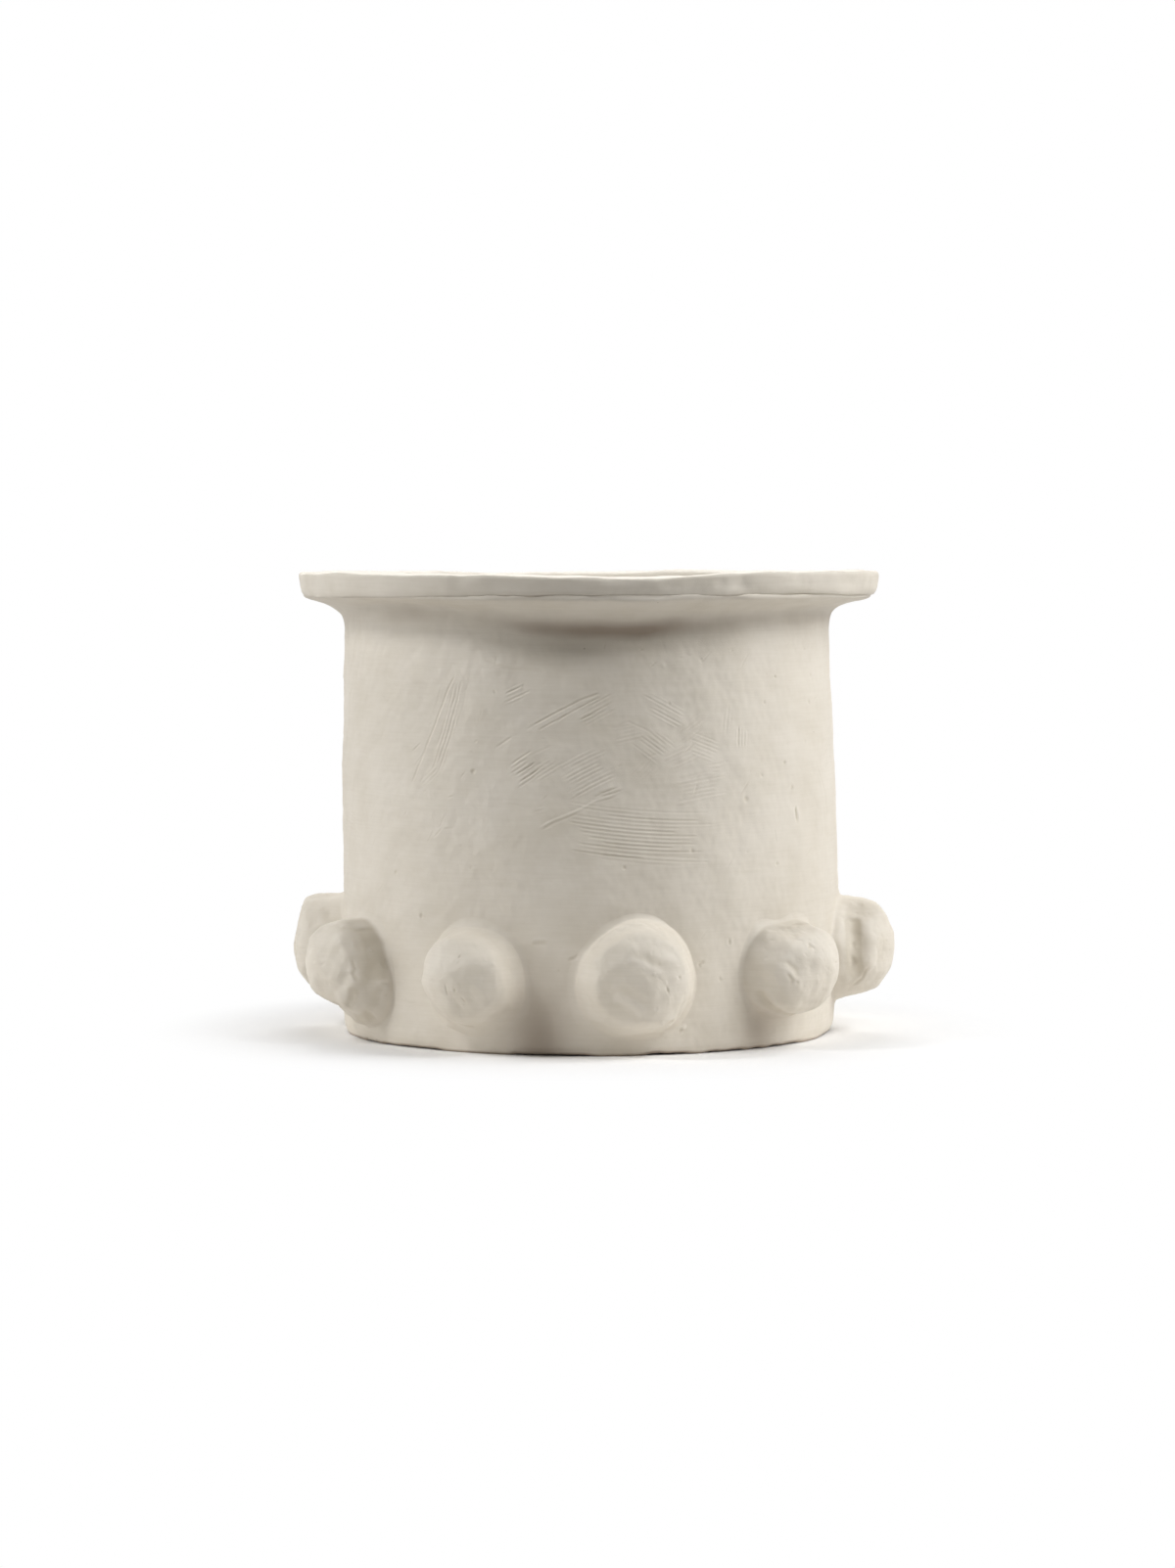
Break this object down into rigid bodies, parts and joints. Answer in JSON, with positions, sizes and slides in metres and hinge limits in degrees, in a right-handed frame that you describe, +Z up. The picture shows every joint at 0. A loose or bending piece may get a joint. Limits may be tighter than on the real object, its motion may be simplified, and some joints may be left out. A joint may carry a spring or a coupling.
{
  "type": "stoneware flower pot",
  "caption": "Large hand-built planter: a slab-rolled cylinder with a flat overhanging rim on a cove and a ring of pressed-on knobs round the foot.",
  "frame": {"origin": "on the ground, on the axis of the pot's inside", "axes": "+Z up along the pot's axis, -Y to the side that the picture shows, +X to its right"},
  "size_m": [0.4208, 0.4215, 0.3216],
  "materials": {
    "stoneware": "matte"
  },
  "bodies": {
    "root": {"wall": "stoneware", "rim_slab": "stoneware", "rim_cove_coil": "stoneware", "floor_slab": "stoneware", "floor_coil": "stoneware", "knob_01": "stoneware", "knob_02": "stoneware", "knob_03": "stoneware", "knob_04": "stoneware", "knob_05": "stoneware", "knob_06": "stoneware", "knob_07": "stoneware", "knob_08": "stoneware", "knob_09": "stoneware", "knob_10": "stoneware"}
  },
  "joints": []
}
